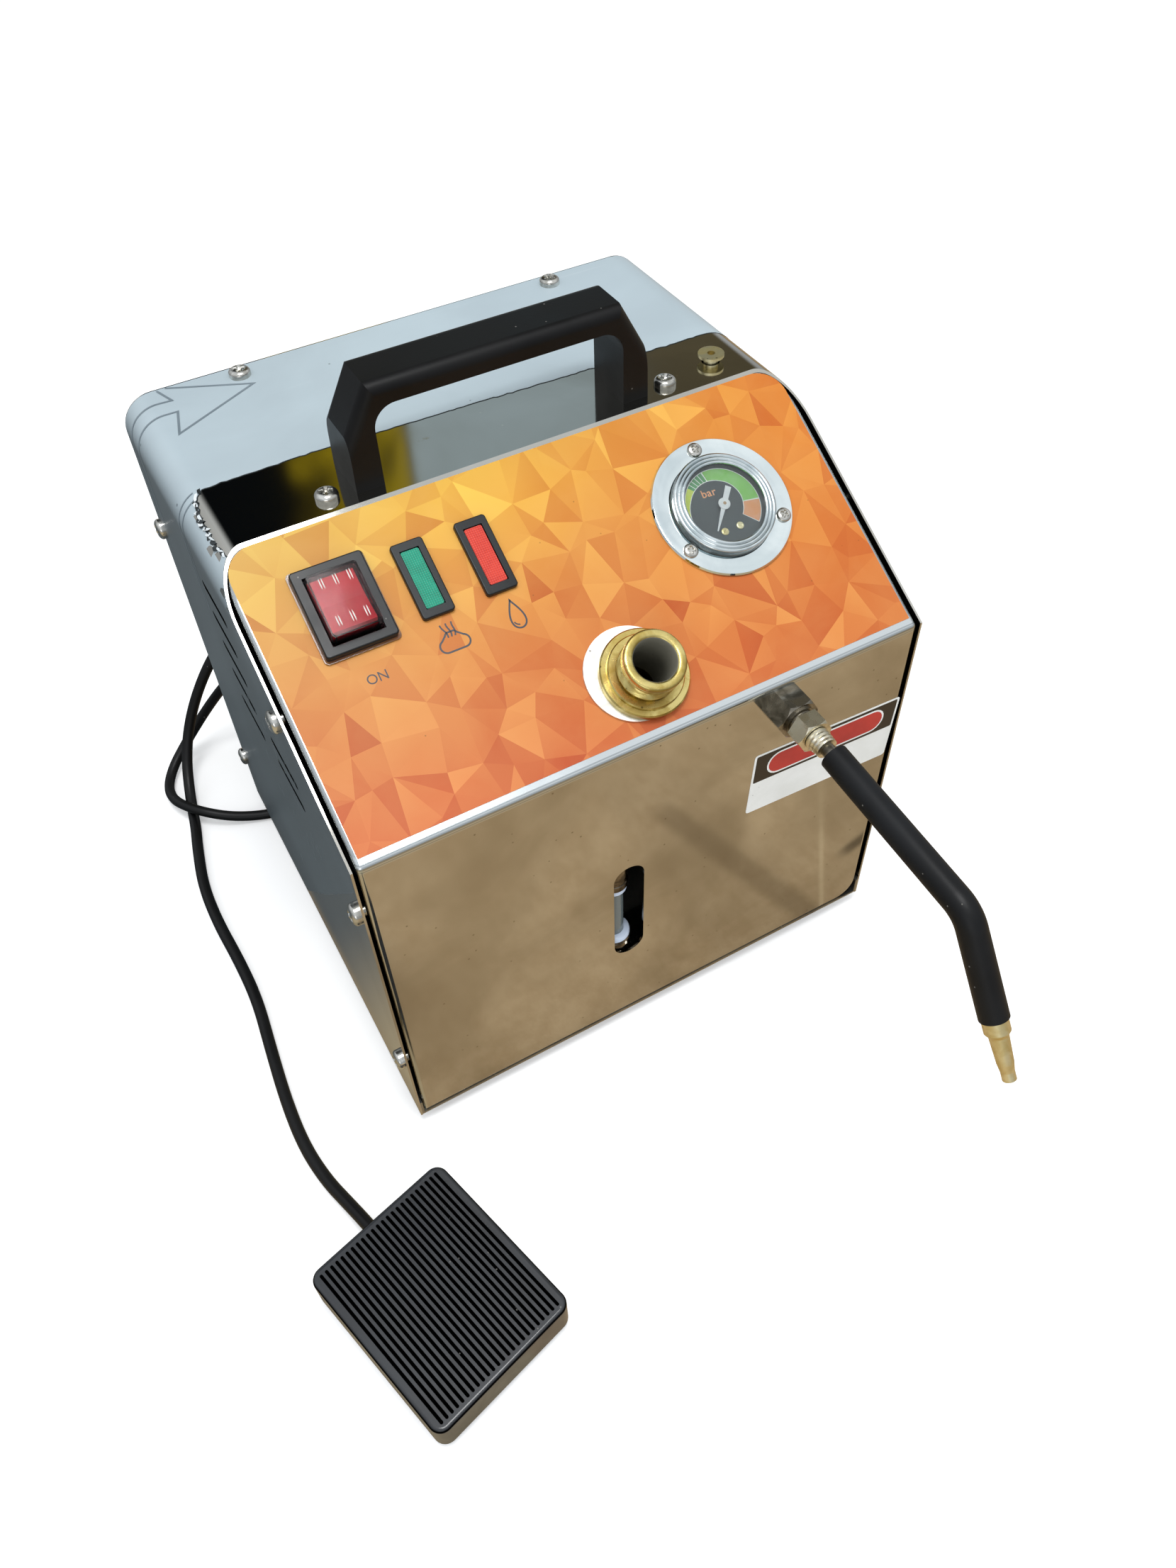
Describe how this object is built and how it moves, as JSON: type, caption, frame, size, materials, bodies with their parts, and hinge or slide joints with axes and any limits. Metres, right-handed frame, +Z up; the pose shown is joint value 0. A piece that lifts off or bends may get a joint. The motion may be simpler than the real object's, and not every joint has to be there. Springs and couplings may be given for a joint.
{
  "type": "jewelry steam cleaner",
  "caption": "Counter-top steam cleaner with a sloping control panel, front jet nozzle, water filler, pressure gauge, sight glass, carry handle and foot pedal on a cord.",
  "frame": {"origin": "centre of the base plate's underside", "axes": "+Z up, +Y from the nozzle front towards the back panel, +X to the right seen from the front"},
  "size_m": [0.3501, 0.5271, 0.3222],
  "materials": {
    "cover_steel": "mirror-polished stainless sheet with torn protective film",
    "panel_steel": "mirror-polished stainless sheet",
    "plain_steel": "plain stainless sheet",
    "overlay_print": "glossy print of many-sided orange and yellow facets",
    "screw_steel": "bright nickel plate",
    "handle_plastic": "fine satin grain",
    "black_plastic": "smooth satin",
    "clear_plastic": "clear flexible plastic",
    "rocker_red": "translucent dark red plastic",
    "green_lens": "ribbed translucent green plastic",
    "red_lens": "ribbed translucent red plastic",
    "gauge_chrome": "polished chrome plate",
    "dial_print": "printed dark grey dial",
    "needle_paint": "white lacquer with a brass hub",
    "clear_lens": "clear polished",
    "turned_aluminium": "turned, with fine concentric marks",
    "brass": "turned brass",
    "nickel": "nickel-plated brass, a little worn",
    "copper": "drawn copper",
    "sleeve_rubber": "smooth black hose",
    "seal_silicone": "milky silicone",
    "foot_rubber": "matte rubber",
    "cord_rubber": "satin cable jacket",
    "pedal_plastic": "satin plastic with polished ridges",
    "heater_steel": "drawn tube with a plain flange",
    "switch_plastic": "ivory plastic"
  },
  "bodies": {
    "machine": {"back_panel": "plain_steel", "base_plate": "plain_steel", "boiler_stand": "plain_steel", "boiler_tank": "plain_steel", "carry_handle": "handle_plastic", "case_cover": "cover_steel", "case_screws": "screw_steel", "coil_ties": "black_plastic", "compression_nut": "nickel", "filler_collar": "brass", "filler_neck": "brass", "filler_pipe": "brass", "filler_washer": "turned_aluminium", "foot_screws": "screw_steel", "front_panel": "panel_steel", "gauge_capillary": "copper", "gauge_case": "gauge_chrome", "gauge_dial": "dial_print", "gauge_flange": "gauge_chrome", "gauge_lens": "clear_lens", "gauge_screws": "screw_steel", "green_lamp_lens": "green_lens", "handle_screws": "screw_steel", "heating_element": "heater_steel", "hose_spigot": "nickel", "lamp_bezels": "black_plastic", "mains_coil": "cord_rubber", "mains_cord": "cord_rubber", "mains_plug": "cord_rubber", "mains_tail": "cord_rubber", "nozzle_tip": "brass", "outlet_nipple": "nickel", "outlet_nut": "nickel", "panel_overlay": "overlay_print", "pedal_base": "black_plastic", "pedal_cord": "cord_rubber", "pedal_grommet": "sleeve_rubber", "pedal_pin": "screw_steel", "pedal_spring": "heater_steel", "pedal_switch": "black_plastic", "pipe_sleeve": "sleeve_rubber", "pressure_switch": "switch_plastic", "red_lamp_lens": "red_lens", "relief_valve_body": "brass", "rocker_boot": "clear_plastic", "rocker_gasket": "clear_plastic", "rocker_housing": "black_plastic", "rubber_feet": "foot_rubber", "sight_elbows": "brass", "sight_seals": "seal_silicone", "sight_tube": "clear_lens", "solenoid_valve": "brass", "steam_line": "copper", "steam_pipe": "copper", "strain_reliefs": "black_plastic", "terminal_block": "black_plastic"},
    "rocker": {"rocker_button": "rocker_red"},
    "needle": {"gauge_needle": "needle_paint"},
    "relief": {"relief_disc": "brass"},
    "treadle": {"pedal_treadle": "pedal_plastic"}
  },
  "joints": [
    {"name": "rocker_hinge", "type": "hinge", "parent": "machine", "child": "rocker", "pos_m": [-0.0942, -0.03643, 0.24816], "axis": [1, 0, 0], "range_deg": [0, 16]},
    {"name": "needle_hinge", "type": "hinge", "parent": "machine", "child": "needle", "pos_m": [0.0738, -0.05204, 0.24274], "axis": [0, 0.4943, -0.8693], "range_deg": [0, 270], "stiffness_Nm_per_rad": 0.0004, "springref_deg": -17.19},
    {"name": "relief_lift", "type": "slide", "parent": "machine", "child": "relief", "axis": [0, 0, 1], "range_m": [0, 0.003], "stiffness_N_per_m": 400, "springref_m": -0.003},
    {"name": "pedal_hinge", "type": "hinge", "parent": "machine", "child": "treadle", "pos_m": [-0.17327, -0.17498, 0.009], "axis": [0.965, 0.2622, 0], "range_deg": [0, 3], "stiffness_Nm_per_rad": 0.5, "springref_deg": -17.19, "deforming": ["pedal_spring"]}
  ]
}
